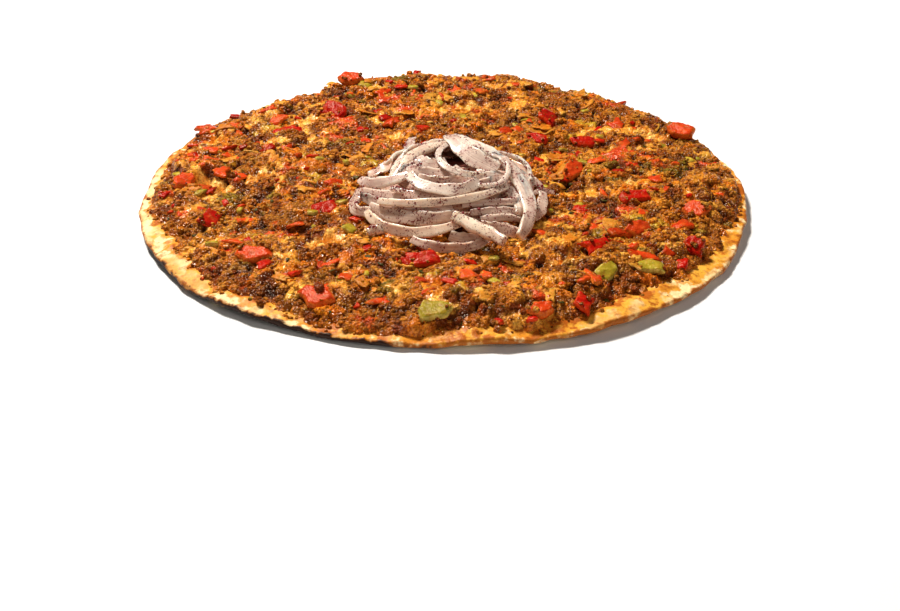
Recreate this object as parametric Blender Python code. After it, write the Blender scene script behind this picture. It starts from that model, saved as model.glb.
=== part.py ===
"""Lahmacun: a thin round flatbread, a layer of spiced mince that runs nearly to its rim,
the larger pieces of pepper and tomato set in the mince, and a heap of sliced sumac onions.

Metres, +Z up. The bread's underside rests on z = 0 and its middle is the origin.
"""

import math

import bmesh
import bpy
from mathutils import Euler, Matrix, Vector, noise

MM = 0.001
GAP = 0.3 * MM  # left between pieces that touch

# The bread: a flat middle, a rim that lifts and puffs a little, and a thin rounded edge.
BREAD_RADIUS = 140 * MM
BREAD_THICKNESS = 3.4 * MM
RIM_PUFF = 1.3 * MM
EDGE_THICKNESS = 2.2 * MM
FLAT_SHARE = 0.74  # of the radius, which lies on the table
RIM_LIFT = 2.4 * MM
SECTORS = 80
BREAD_RINGS = (0.4, FLAT_SHARE, 0.80, 0.85, 0.90, 0.945, 0.985)
UNDERSIDE_RINGS = (FLAT_SHARE, 0.80, 0.88, 0.95, 0.988)

# The mince layer.
MINCE_THICKNESS = 6.6 * MM
MINCE_EDGE_THICKNESS = 2.4 * MM
MINCE_RINGS = 16
BROAD_LUMP, BROAD_LUMP_SPACING = 3.6 * MM, 34 * MM
SMALL_LUMP, SMALL_LUMP_SPACING = 4.4 * MM, 17 * MM
MINCE_UNDER_PIECE = 1.5 * MM

# The onion heap: its middle, its reach to each side and its height over the mince.
HEAP_CENTRE = Vector((2 * MM, -24 * MM))
HEAP_REACH = Vector((45 * MM, 48 * MM))
HEAP_HEIGHT = 22 * MM
HEAP_EDGE_HEIGHT = 4 * MM
HEAP_PEAK_BACK = 14 * MM  # how far the peak lies behind the middle
HEAP_SECTORS = 58
HEAP_RINGS = 13
STRIP_RELIEF, STRIP_HALF_WIDTH = 4.0 * MM, 4.6 * MM

# The curled strips that show on the heap: x and y of the curl's middle and its radius (mm),
# then the directions it runs between (degrees).
STRIPS = (
    (-2, -43, 31, -30, 110),
    (-5, -17, 38, -150, -25),
    (-12, -33, 27, 40, 215),
    (3, -50, 20, -155, -30),
    (2, -28, 13, -190, 30),
    (10, -4, 24, -50, 150),
)

BREAD_COLOUR = (0.80, 0.58, 0.30)
MINCE_COLOUR = (0.33, 0.13, 0.04)
ONION_COLOUR = (0.78, 0.64, 0.58)

# Kinds of vegetable piece: colour, roughness, corners, thickness, how far its corners and the
# middles of its sides stand from its middle (shares of the half length) and the radius of the
# bend across the piece.
KINDS = {
    "red_pepper": {
        "colour": (0.62, 0.03, 0.02),
        "roughness": 0.25,
        "corners": 4,
        "thickness": 2.8 * MM,
        "corner": 1.30,
        "side": 0.93,
        "bend_radius": 17 * MM,
    },
    "tomato": {
        "colour": (0.70, 0.10, 0.02),
        "roughness": 0.3,
        "corners": 5,
        "thickness": 4.2 * MM,
        "corner": 1.08,
        "side": 0.97,
        "bend_radius": 26 * MM,
    },
    "green_pepper": {
        "colour": (0.38, 0.34, 0.05),
        "roughness": 0.3,
        "corners": 4,
        "thickness": 3.4 * MM,
        "corner": 1.22,
        "side": 0.97,
        "bend_radius": 14 * MM,
    },
}

# Each piece: kind, x and y on the mince, length and width (mm), then turn about Z and tilt
# about the piece's own length (degrees).
PIECES = (
    ("red_pepper", -58, 75, 14, 10, -35, 38),
    ("red_pepper", -81, 49, 16, 7, 30, 12),
    ("red_pepper", 53, 63, 13, 10, 70, 28),
    ("red_pepper", 46, 42, 11, 9, -15, 16),
    ("red_pepper", 70, 42, 13, 8, 12, 22),
    ("red_pepper", -54, -36, 13, 10, 20, 18),
    ("red_pepper", -11, -85, 16, 8, 8, 20),
    ("red_pepper", 106, -70, 10, 9, -20, 34),
    ("red_pepper", 65, -73, 15, 7, 28, 24),
    ("red_pepper", 86, -31, 13, 7, 5, 18),
    ("red_pepper", -104, -48, 13, 8, 78, 20),
    ("red_pepper", 55, -117, 12, 7, 66, 18),
    ("tomato", -52, 112, 15, 10, 12, 14),
    ("tomato", 61, 3, 17, 11, 62, 20),
    ("tomato", -51, -111, 15, 10, -20, 14),
    ("tomato", 119, 45, 13, 11, -30, 22),
    ("tomato", -122, -11, 14, 10, 70, 14),
    ("tomato", -80, -80, 14, 9, 5, 14),
    ("tomato", 113, -37, 12, 10, -40, 24),
    ("tomato", 38, -123, 10, 8, 25, 10),
    ("tomato", 84, -57, 13, 9, 20, 18),
    ("green_pepper", -3, -124, 13, 10, -12, 16),
    ("green_pepper", 67, -94, 11, 8, 40, 22),
    ("green_pepper", 85, -88, 12, 8, -8, 12),
)


def clear_scene():
    for old in list(bpy.data.objects):
        bpy.data.objects.remove(old, do_unlink=True)


def food_material(name, colour, roughness):
    material = bpy.data.materials.new(name)
    material.use_nodes = True
    shader = material.node_tree.nodes["Principled BSDF"]
    shader.inputs["Base Color"].default_value = (*colour, 1)
    shader.inputs["Roughness"].default_value = roughness
    shader.inputs["Metallic"].default_value = 0
    return material


def smoothstep(low, high, value):
    t = min(1, max(0, (value - low) / (high - low)))
    return t * t * (3 - 2 * t)


def swell(angle, middle_degrees, width_degrees):
    """1 at one direction round the disc, falling smoothly to 0 away from it."""
    away = math.remainder(angle - math.radians(middle_degrees), math.tau)
    return math.exp(-((away / math.radians(width_degrees)) ** 2))


def ring_of(count, radius_at, height_at):
    """One closed ring of points, from functions of the angle."""
    angles = (math.tau * step / count for step in range(count))
    return [
        Vector((radius_at(a) * math.cos(a), radius_at(a) * math.sin(a), height_at(a)))
        for a in angles
    ]


def body_from_rings(name, rings, material):
    """A closed body skinned over rings, from the middle of the underside, out, and back over
    the top to its middle. The first and the last ring are closed by a fan."""
    shape = bmesh.new()
    made = [[shape.verts.new(point) for point in ring] for ring in rings]
    count = len(made[0])
    for inner, outer in zip(made, made[1:]):
        for i in range(count):
            j = (i + 1) % count
            shape.faces.new((inner[i], inner[j], outer[j], outer[i]))
    for ring in (made[0], made[-1]):
        middle = shape.verts.new(sum((v.co for v in ring), Vector()) / count)
        for i in range(count):
            shape.faces.new((ring[i], ring[(i + 1) % count], middle))
    bmesh.ops.recalc_face_normals(shape, faces=shape.faces)
    mesh = bpy.data.meshes.new(name)
    shape.to_mesh(mesh)
    shape.free()
    mesh.materials.append(material)
    mesh.shade_smooth()
    mesh.set_sharp_from_angle(angle=math.radians(50))
    body = bpy.data.objects.new(name, mesh)
    bpy.context.scene.collection.objects.link(body)
    return body


# ---- the bread ----


def bread_radius(angle):
    """The uneven round outline of hand-stretched dough."""
    wave = (
        0.012 * math.cos(2 * angle)
        + 0.012 * math.cos(3 * angle + 2.15)
        + 0.005 * math.cos(5 * angle - 1.05)
        + 0.003 * math.cos(11 * angle + 0.4)
    )
    return BREAD_RADIUS * (1 + wave)


def rim_lift(angle):
    """How high the rim's underside stands off the table."""
    wave = (
        0.30 * math.cos(2 * angle + 0.6)
        + 0.28 * math.cos(5 * angle - 0.4)
        + 0.22 * math.cos(9 * angle + 1.3)
    )
    return RIM_LIFT * (1 + wave)


def bread_underside(share, angle):
    return rim_lift(angle) * smoothstep(FLAT_SHARE, 1.04, share)


def bread_thickness(share, angle):
    puff = RIM_PUFF * (0.6 + 0.4 * math.sin(4 * angle + 0.8))
    swollen = smoothstep(0.80, 0.93, share) * puff
    thick = BREAD_THICKNESS + swollen
    return thick + (EDGE_THICKNESS - thick) * smoothstep(0.935, 1.0, share)


def bread_top(share, angle):
    return bread_underside(share, angle) + bread_thickness(share, angle)


def make_bread():
    def ring(share, surface):
        return ring_of(
            SECTORS,
            lambda a: share * bread_radius(a),
            lambda a: surface(share, a),
        )

    def edge_height(angle):
        return bread_underside(1, angle) + EDGE_THICKNESS / 2

    under = [ring(share, bread_underside) for share in UNDERSIDE_RINGS]
    over = [ring(share, bread_top) for share in BREAD_RINGS]
    edge = ring_of(SECTORS, bread_radius, edge_height)
    material = food_material("baked_dough", BREAD_COLOUR, 0.6)
    return body_from_rings("bread", [*under, edge, *reversed(over)], material)


# ---- the mince layer ----


def mince_outline_share(angle):
    """Where the mince ends, as a share of the bread's radius. The bare rim is widest at the
    front right and the front left."""
    bare = (
        2.2 * MM
        + 9.0 * MM * swell(angle, -48, 28)
        + 1.5 * MM * swell(angle, -97, 20)
        + 7.5 * MM * swell(angle, -148, 26)
        + 3.0 * MM * swell(angle, -185, 14)
        + 1.0 * MM * math.sin(11 * angle)
    )
    return 1 - bare / bread_radius(angle)


def heap_distance(x, y):
    """0 at the heap's middle and 1 at its nominal outline."""
    return math.hypot(
        (x - HEAP_CENTRE.x) / HEAP_REACH.x, (y - HEAP_CENTRE.y) / HEAP_REACH.y
    )


def lumps(x, y):
    broad = noise.noise(Vector((x, y, 0)) / BROAD_LUMP_SPACING)
    small = noise.noise(Vector((x, y, 0.5)) / SMALL_LUMP_SPACING)
    return BROAD_LUMP * broad + SMALL_LUMP * small


def mince_top(x, y):
    """The height of the mince's upper face over the table. It is level under the onions."""
    angle = math.atan2(y, x)
    share = math.hypot(x, y) / bread_radius(angle)
    filled = share / mince_outline_share(angle)
    uneven = lumps(x, y) * smoothstep(1.08, 1.35, heap_distance(x, y))
    thick = MINCE_THICKNESS + uneven
    thick += (MINCE_EDGE_THICKNESS - thick) * smoothstep(0.90, 1.0, filled)
    return bread_top(share, angle) + GAP + thick


def make_mince():
    count = len(BREAD_RINGS)

    def underside_share(ring, angle):
        """The bread's own rings, drawn in where they would pass the mince's outline."""
        spacing = 0.004
        return min(
            BREAD_RINGS[ring], mince_outline_share(angle) - spacing * (count - ring)
        )

    def outline_radius(angle):
        return mince_outline_share(angle) * bread_radius(angle)

    def outline_height(angle, lift):
        return bread_top(mince_outline_share(angle), angle) + GAP + lift

    under = [
        ring_of(
            SECTORS,
            lambda a: underside_share(ring, a) * bread_radius(a),
            lambda a: bread_top(underside_share(ring, a), a) + GAP,
        )
        for ring in range(count)
    ]
    side = [
        ring_of(SECTORS, outline_radius, lambda a: outline_height(a, lift))
        for lift in (0, 0.6 * MINCE_EDGE_THICKNESS)
    ]
    over = []
    for step in range(1, MINCE_RINGS):
        filled = step / MINCE_RINGS
        # The last ring keeps clear of the outline, so that the layer ends in a steep edge.
        if step == MINCE_RINGS - 1:
            filled = 0.985

        def radius(angle):
            return filled * outline_radius(angle)

        def height(angle):
            return mince_top(radius(angle) * math.cos(angle), radius(angle) * math.sin(angle))

        over.append(ring_of(SECTORS, radius, height))
    material = food_material("spiced_mince", MINCE_COLOUR, 0.5)
    return body_from_rings("mince_layer", [*under, *side, *reversed(over)], material)


# ---- the larger vegetable pieces ----


def piece_rings(kind, length, width, seed, grow):
    """A cut piece lying flat round the origin: corners with bowed sides, and a bend across
    its width. grow makes it larger on every side."""
    shape = KINDS[kind]
    points = 2 * shape["corners"]
    half = shape["thickness"] / 2 + grow

    def outline(step, share, height):
        angle = math.tau * (step + 1) / points
        angle += 0.5 * noise.noise(Vector((1.7 * seed, step, 0.3)))
        reach = shape["side"] if step % 2 else shape["corner"]
        reach *= 1 + 0.45 * noise.noise(Vector((1.7 * seed, step, 7.5)))
        x = (length / 2 * reach * share + grow) * math.cos(angle)
        y = (width / 2 * reach * share + grow) * math.sin(angle)
        return Vector((x, y, height - y * y / (2 * shape["bend_radius"])))

    levels = ((0.80, -half), (1.0, -0.3 * half), (1.0, 0.35 * half), (0.82, half))
    return [
        [outline(step, share, height) for step in range(points)]
        for share, height in levels
    ]


def piece_height(kind, x, y, width, tilt):
    """The height of a piece's middle: half sunk in the mince, but with mince under it."""
    across = 0.5 * width * math.sin(tilt)
    bend = width * width / (8 * KINDS[kind]["bend_radius"])
    lowest = 0.5 * KINDS[kind]["thickness"] + bend + across
    share = math.hypot(x, y) / bread_radius(math.atan2(y, x))
    floor = bread_top(share, math.atan2(y, x)) + MINCE_UNDER_PIECE
    return max(mince_top(x, y) + 0.5 * across, floor + lowest)


def make_piece(name, row, seed, material, grow=0.0):
    kind, *sizes, turn, tilt = row
    x, y, length, width = (size * MM for size in sizes)
    turn, tilt = math.radians(turn), math.radians(tilt)
    rings = piece_rings(kind, length, width, seed, grow)
    piece = body_from_rings(name, rings, material)
    place = Matrix.Translation((x, y, piece_height(kind, x, y, width, tilt)))
    piece.matrix_world = place @ Euler((tilt, 0, turn)).to_matrix().to_4x4()
    return piece


def set_into(layer, cutters):
    """The layer gets a pocket for each piece, cut by the piece grown by the gap."""
    pockets = bpy.data.collections.new("pockets")
    for cutter in cutters:
        cutter.hide_render = True
        cutter.display_type = "WIRE"
        pockets.objects.link(cutter)
    cut = layer.modifiers.new("pockets", "BOOLEAN")
    cut.operation = "DIFFERENCE"
    cut.operand_type = "COLLECTION"
    cut.collection = pockets
    cut.solver = "EXACT"


def make_pieces():
    """The pieces, and a grown copy of each to cut its pocket with."""
    materials = {
        kind: food_material(kind, shape["colour"], shape["roughness"])
        for kind, shape in KINDS.items()
    }
    made = dict.fromkeys(KINDS, 0)
    cutters = []
    for seed, row in enumerate(PIECES, start=1):
        kind = row[0]
        made[kind] += 1
        name = f"{kind}_{made[kind]:02d}"
        make_piece(name, row, seed, materials[kind])
        cutters.append(make_piece("pocket_" + name, row, seed, materials[kind], GAP))
    return cutters


# ---- the onion heap ----


def heap_outline(angle):
    """The heap's outline as a share of its reach, with the ends of strips standing out."""
    around = Vector((math.cos(angle), math.sin(angle), 0))
    broad = noise.noise(1.7 * around + Vector((0, 0, 4)))
    ends = noise.noise(5.5 * around + Vector((0, 0, 9)))
    return 0.95 + 0.10 * broad + 0.16 * ends


def strip_ridge(x, y):
    """1 along the middle of a curled strip, falling smoothly to 0 beside it."""
    highest = 0.0
    for middle_x, middle_y, radius, start, end in STRIPS:
        across, along = x - middle_x * MM, y - middle_y * MM
        half_turn = math.radians(end - start) / 2
        direction = math.atan2(along, across) - math.radians(start) - half_turn
        past_end = max(0, abs(math.remainder(direction, math.tau)) - half_turn)
        away = math.hypot(math.hypot(across, along) - radius * MM, past_end * radius * MM)
        highest = max(highest, math.exp(-((away / STRIP_HALF_WIDTH) ** 2)))
    return highest


def heap_height(point, share):
    """Height over the mince: a low mound with a steep edge, ridged by the strips."""
    mound = HEAP_EDGE_HEIGHT + (HEAP_HEIGHT - HEAP_EDGE_HEIGHT) * (1 - share**2.2)
    ridge = STRIP_RELIEF * strip_ridge(point.x, point.y)
    return mound + ridge * (1 - smoothstep(0.85, 1, share))


def make_onion_heap():
    base = mince_top(HEAP_CENTRE.x, HEAP_CENTRE.y) + GAP

    def ring(share, lift_at):
        """A ring of the mound. The inner rings close in on the peak, behind the middle."""
        points = ring_of(
            HEAP_SECTORS,
            lambda a: share * (1 + (heap_outline(a) - 1) * share),
            lambda a: 0,
        )
        for point in points:
            point.x = HEAP_CENTRE.x + HEAP_REACH.x * point.x
            point.y = HEAP_CENTRE.y + HEAP_REACH.y * point.y + (1 - share) * HEAP_PEAK_BACK
            point.z = base + lift_at(point, share)
        return points

    under = [ring(share, lambda point, share: 0) for share in (0.5, 0.96)]
    edge = [ring(1, lambda point, share: 0.3 * HEAP_EDGE_HEIGHT)]
    over = [ring(step / HEAP_RINGS, heap_height) for step in range(1, HEAP_RINGS)]
    material = food_material("sliced_onion", ONION_COLOUR, 0.35)
    return body_from_rings("onion_heap", [*under, *edge, *reversed(over)], material)


def main():
    clear_scene()
    make_bread()
    mince = make_mince()
    set_into(mince, make_pieces())
    make_onion_heap()


main()
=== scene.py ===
"""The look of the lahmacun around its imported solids: the baked bread, the crumbly mince with its
vegetables, and the heap of sliced sumac onions.

Lengths are in metres, and directions round the bread are in degrees from +X towards +Y.
"""

import math

import bmesh
import bpy
import numpy as np
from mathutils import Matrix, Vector
from mathutils.bvhtree import BVHTree


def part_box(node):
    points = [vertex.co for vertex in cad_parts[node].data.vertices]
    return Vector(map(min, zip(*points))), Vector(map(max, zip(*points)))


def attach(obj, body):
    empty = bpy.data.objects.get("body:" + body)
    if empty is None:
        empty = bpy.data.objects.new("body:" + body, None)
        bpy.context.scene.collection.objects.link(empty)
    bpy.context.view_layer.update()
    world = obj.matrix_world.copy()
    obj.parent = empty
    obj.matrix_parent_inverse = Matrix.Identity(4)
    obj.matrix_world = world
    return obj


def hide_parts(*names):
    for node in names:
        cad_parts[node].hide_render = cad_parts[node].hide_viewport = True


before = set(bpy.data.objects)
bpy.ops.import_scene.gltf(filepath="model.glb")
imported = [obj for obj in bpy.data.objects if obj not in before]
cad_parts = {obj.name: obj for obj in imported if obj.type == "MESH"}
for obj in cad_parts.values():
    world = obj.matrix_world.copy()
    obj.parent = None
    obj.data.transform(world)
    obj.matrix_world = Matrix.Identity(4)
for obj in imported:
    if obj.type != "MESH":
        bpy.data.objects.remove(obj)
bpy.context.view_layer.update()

MM = 0.001
TAU = math.tau

# The view: looking down on the bread from the front.
CAMERA_PLACE = (2.4 * MM, -539.3 * MM, 266.3 * MM)
CAMERA_PITCH = math.radians(31.33)
CAMERA_LENS = 50  # mm, on a sensor of:
CAMERA_SENSOR = 36
# Each light's place, width, power, colour, and whether it shows in reflections.
LIGHTS = {
    "key": ((-0.50, 0.58, 1.28), 0.32, 37, (1.0, 0.95, 0.88), True),
    "front fill": ((0.45, -1.10, 0.85), 1.2, 4.9, (1.0, 0.93, 0.84), False),
}
SKY = 0.055  # strength of the white light from all round
FLOOR_HALF = 6  # half the side of the floor

# The raster that holds the reliefs: square cells over the whole bread.
CELL = 0.42 * MM
RASTER = 680
RASTER_MIDDLE = (RASTER - 1) / 2
SPAN = 290 * MM  # side of a square that holds the mince

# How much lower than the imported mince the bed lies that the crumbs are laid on.
BED_DROP = 2.0 * MM
BED_STEP = 0.78 * MM  # spacing of the bed's own mesh
PUFF = 0.42 * MM  # how far its steep slopes bulge over the hollows beside them


def linear(red, green, blue):
    """A colour given as 0 to 255 display values, as the linear values a shader takes."""
    values = np.array((red, green, blue)) / 255
    return np.where(values <= 0.04045, values / 12.92, ((values + 0.055) / 1.055) ** 2.4)


def smoothstep(low, high, value):
    t = np.clip((value - low) / (high - low), 0, 1)
    return t * t * (3 - 2 * t)


def blend(value, other, share):
    """The value where share is 0, the other where it is 1, and a mixture between."""
    return value * (1 - share) + other * share


def swell(angle, middle_degrees, width_degrees):
    """1 at one direction round the bread, falling smoothly to 0 away from it."""
    away = np.remainder(angle - math.radians(middle_degrees) + math.pi, TAU) - math.pi
    return np.exp(-((away / math.radians(width_degrees)) ** 2))


def polar(radius, angle):
    return radius * np.cos(angle), radius * np.sin(angle)


def turned(across, along, turn):
    """How far each place lies along a turned line, and how far beside it."""
    cosine, sine = np.cos(turn), np.sin(turn)
    return across * cosine + along * sine, along * cosine - across * sine


def unit(rows):
    return rows / np.linalg.norm(rows, axis=1)[:, None]


def xyz(x, y, z):
    """Rows of coordinates. A single number stands for a column of it."""
    return np.stack(np.broadcast_arrays(x, y, z), axis=1)


def between(grid, row, column):
    """The grid's value at places between its cells. Its last column is next to its first."""
    r, c = np.floor(row).astype(int), np.floor(column).astype(int)
    u, v = row - r, column - c
    c = c % grid.shape[1]
    d = (c + 1) % grid.shape[1]
    return blend(blend(grid[r, c], grid[r, d], v), blend(grid[r + 1, c], grid[r + 1, d], v), u)


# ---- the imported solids, sampled by direction and distance from the middle ----


def mesh_parts(mesh):
    """A mesh's points, and its faces as lists of their numbers."""
    points = np.array([v.co for v in mesh.vertices])
    return points, [list(p.vertices) for p in mesh.polygons]


def joined(parts):
    """Several meshes as one, each given as its points and faces."""
    points, faces, known = [], [], 0
    for its_points, its_faces in parts:
        points.append(its_points)
        faces += [[i + known for i in face] for face in its_faces]
        known += len(its_points)
    return np.concatenate(points), faces


def tree_of(*meshes):
    points, faces = joined(mesh_parts(mesh) for mesh in meshes)
    return BVHTree.FromPolygons(points.tolist(), faces)


def cast(tree, x, y, upward=False):
    """The heights where lines down through the places, or up, meet the tree. nan: nowhere."""
    start, way = (-0.2, 1) if upward else (0.2, -1)
    heights = np.full(len(x), np.nan)
    for i, place in enumerate(zip(x.tolist(), y.tolist())):
        hit = tree.ray_cast(Vector((*place, start)), Vector((0, 0, way)))[0]
        if hit is not None:
            heights[i] = hit.z
    return heights


def interpolate_round(samples, count):
    """Smooth periodic interpolation of values round the circle, to another number of steps."""
    waves = np.fft.rfft(samples) / len(samples)
    order = np.arange(len(waves))
    angles = np.arange(count) * TAU / count
    turn = np.exp(1j * np.multiply.outer(order, angles))
    return np.real((waves * np.where(order == 0, 1, 2)) @ turn)


class PolarSurface:
    """Heights of one face of a solid, on a grid of directions and shares of its reach."""

    LAST_SHARE = 0.97
    CORNER_SECTORS = 80
    OUTLINE_STEPS = 720

    def __init__(self, node, upward, rings, directions=160, smooth=40):
        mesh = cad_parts[node].data
        x, y, _ = mesh_parts(mesh)[0].T
        sector = np.round(np.arctan2(y, x) / TAU * self.CORNER_SECTORS).astype(int)
        corners = np.zeros(self.CORNER_SECTORS)
        np.maximum.at(corners, sector % self.CORNER_SECTORS, np.hypot(x, y))
        self.reach = interpolate_round(corners, self.OUTLINE_STEPS)
        reach = interpolate_round(corners, directions)
        angles = np.arange(directions) * TAU / directions
        tree = tree_of(mesh)
        grid = np.zeros((rings, directions))
        for ring, share in enumerate(np.linspace(0, self.LAST_SHARE, rings)):
            hits = cast(tree, *polar(share * reach, angles), upward)
            grid[ring] = np.where(np.isnan(hits), grid[ring - 1], hits)
        waves = np.fft.rfft(grid, axis=1)
        waves[:, smooth:] = 0
        self.grid = np.fft.irfft(waves, directions, axis=1)

    def outline(self, angle):
        """The solid's reach in a direction."""
        place = np.remainder(angle, TAU) / TAU * self.OUTLINE_STEPS
        low = np.floor(place).astype(int) % self.OUTLINE_STEPS
        return blend(self.reach[low], self.reach[(low + 1) % self.OUTLINE_STEPS], place % 1)

    def height(self, x, y):
        rings, directions = self.grid.shape
        angle = np.arctan2(y, x)
        share = np.hypot(x, y) / self.outline(angle)
        row = np.clip(share / self.LAST_SHARE * (rings - 1), 0, rings - 1.001)
        return between(self.grid, row, np.remainder(angle, TAU) / TAU * directions)


# ---- reliefs on the raster ----

AXIS = (np.arange(RASTER) - RASTER_MIDDLE) * CELL


def filtered(relief, weigh, size):
    """The relief with its waves weighed by how many of them a size, in mm, holds."""
    steps = np.fft.fftfreq(RASTER, CELL)
    waves_in_size = np.hypot(steps[:, None], steps[None, :]) * size * MM
    return np.real(np.fft.ifft2(np.fft.fft2(relief) * weigh(waves_in_size)))


def raster_noise(size, seed):
    """Random relief of mean 0 and spread 1, with bumps about half a size across, in mm."""
    white = np.random.default_rng(seed).standard_normal((RASTER, RASTER))
    relief = filtered(white, lambda f: f**2 * np.exp(-(f**2)), size)
    return relief / relief.std()


def blurred(relief, size):
    return filtered(relief, lambda f: np.exp(-2 * (math.pi * f) ** 2), size)


def raster_at(relief, x, y):
    """The relief's value at places between the raster's cells."""
    row, column = (np.clip(v / CELL + RASTER_MIDDLE, 0, RASTER - 1.001) for v in (y, x))
    return between(relief, row, column)


def raster_cell(values, x, y):
    """The value of the raster's nearest cell."""
    row, column = (np.clip(np.round(v / CELL + RASTER_MIDDLE), 0, RASTER - 1) for v in (y, x))
    return values[row.astype(int), column.astype(int)]


def raster_window(x, y, reach):
    """The cells near a place: their slices, and how far across and along each lies from it."""
    columns, rows = (
        slice(
            max(0, int(v / CELL + RASTER / 2 - reach / CELL)),
            min(RASTER, int(v / CELL + RASTER / 2 + reach / CELL) + 2),
        )
        for v in (x, y)
    )
    return (rows, columns), AXIS[columns][None, :] - x, AXIS[rows][:, None] - y


def heap_lumps(random, height, lumps, warp, power):
    """Raises the relief to each lump's upper half, and returns whose lump is on top. lumps: the
    x, y, z, half length, half width and half height of all. warp makes their outlines uneven,
    and power is 0.5 for round lumps and 1 for gentler ones."""
    owner = np.full(height.shape, -1)
    lumps = np.stack([*lumps, random.uniform(0, TAU, len(lumps[0]))], axis=1)
    for number, (x, y, z, long, wide, high, turn) in enumerate(lumps.tolist()):
        window, across, along = raster_window(x, y, max(long, wide) * 1.3)
        u, v = turned(across + warp[0][window], along + warp[1][window], turn)
        rise = 1 - (u / long) ** 2 - (v / wide) ** 2
        top = np.where(rise > 0, z + high * np.abs(rise) ** power, -1)
        above = top > height[window]
        height[window][above] = top[above]
        owner[window][above] = number
    return owner


def eased(relief, steepest, passes):
    """The relief with its upright walls eased to slopes, by spreading what is high."""
    steps = [(down, right) for down in (-1, 0, 1) for right in (-1, 0, 1)]
    for _ in range(passes):
        spread = (np.roll(relief, s, (0, 1)) - steepest * CELL * math.hypot(*s) for s in steps)
        relief = np.max(list(spread), axis=0)
    return relief


# ---- meshes and materials ----


def new_piece(name, points, faces, material, slot, colours=None, **masks):
    """A smooth mesh object that rides on the part. colours are linear colours by point, and
    masks are named values by point."""
    mesh = bpy.data.meshes.new(name)
    mesh.from_pydata(np.asarray(points).tolist(), [], [list(map(int, f)) for f in faces])
    if colours is not None:
        tint = mesh.color_attributes.new("tint", "FLOAT_COLOR", "POINT")
        with_alpha = np.column_stack([colours, np.ones(len(points))]).astype(np.float32)
        tint.data.foreach_set("color", with_alpha.ravel())
    for mask, values in masks.items():
        values = np.asarray(values, np.float32)
        kind, key = ("FLOAT_VECTOR", "vector") if values.ndim == 2 else ("FLOAT", "value")
        mesh.attributes.new(mask, kind, "POINT").data.foreach_set(key, values.ravel())
    mesh.materials.append(material)
    mesh.shade_smooth()
    piece = bpy.data.objects.new(name, mesh)
    bpy.context.scene.collection.objects.link(piece)
    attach(piece, "root")
    return piece


def tube_faces(rings, around):
    """The faces of a tube of rings of points, with a flat face at each end."""
    faces = []
    for a in range((rings - 1) * around):
        b = a + 1 if (a + 1) % around else a + 1 - around
        faces.append([b, a, a + around, b + around])
    last = (rings - 1) * around
    faces.append(list(range(around)))
    faces.append(list(range(last + around - 1, last - 1, -1)))
    return faces


class Nodes:
    """Builds one material's nodes with few words. Sizes are in mm."""

    def __init__(self, name):
        self.material = bpy.data.materials.new(name)
        self.material.use_nodes = True
        self.tree = self.material.node_tree

    def link(self, socket, value):
        if isinstance(value, bpy.types.NodeSocket):
            self.tree.links.new(value, socket)
        else:
            socket.default_value = value

    def add(self, kind, inputs, output=0, **settings):
        """A new node's output. Its inputs are given by name or number."""
        node = self.tree.nodes.new("ShaderNode" + kind)
        for key, value in settings.items():
            setattr(node, key, value)
        for key, value in inputs.items():
            self.link(node.inputs[key], value)
        return node.outputs[output]

    def place(self):
        return self.add("TexCoord", {}, "Object")

    def attribute(self, name, output="Fac"):
        return self.add("Attribute", {}, output, attribute_name=name)

    def noise(self, size, detail=3.0, roughness=0.55, vector=None):
        """Noise with features about the given size."""
        inputs = {"Scale": 1 / (size * MM), "Detail": detail, "Roughness": roughness}
        return self.add("TexNoise", {**inputs, "Vector": vector or self.place()}, "Fac")

    def cells(self, size, output="Distance"):
        inputs = {"Scale": 1 / (size * MM), "Vector": self.place()}
        return self.add("TexVoronoi", inputs, output)

    def range(self, value, low, high, to_low=0.0, to_high=1.0, smooth=False):
        inputs = {1: low, 2: high, 3: to_low, 4: to_high, 0: value}
        kind = "SMOOTHSTEP" if smooth else "LINEAR"
        return self.add("MapRange", inputs, interpolation_type=kind)

    def math(self, operation, a, b):
        return self.add("Math", {0: a, 1: b}, operation=operation)

    def plus(self, a, b):
        return self.math("ADD", a, b)

    def times(self, a, b):
        return self.math("MULTIPLY", a, b)

    def ragged(self, value, noise, swing):
        """The value, swung up and down by the noise."""
        return self.plus(value, self.range(noise, 0.3, 0.7, -swing, swing))

    def mix(self, share, a, b, blend_type="MIX"):
        a, b = ((*c, 1) if isinstance(c, (tuple, np.ndarray)) else c for c in (a, b))
        inputs = {0: share, 6: a, 7: b}
        return self.add("Mix", inputs, 2, data_type="RGBA", blend_type=blend_type)

    def tinted(self, colour, tint, share=1.0):
        return self.mix(share, colour, tint, "MULTIPLY")

    def bump(self, height, distance, strength=1.0):
        inputs = {"Height": height, "Distance": distance * MM, "Strength": strength}
        return self.add("Bump", inputs, "Normal")

    def finish(self, colour, softness=None, **inputs):
        """Sets the shader. softness: how much light goes in, how far by colour, and its scale."""
        inputs["Base_Color"] = colour
        if softness:
            inputs["Subsurface_Weight"], inputs["Subsurface_Radius"], scale = softness
            inputs["Subsurface_Scale"] = scale * MM
        for key, value in inputs.items():
            self.link(self.tree.nodes["Principled BSDF"].inputs[key.replace("_", " ")], value)
        return self.material


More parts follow.
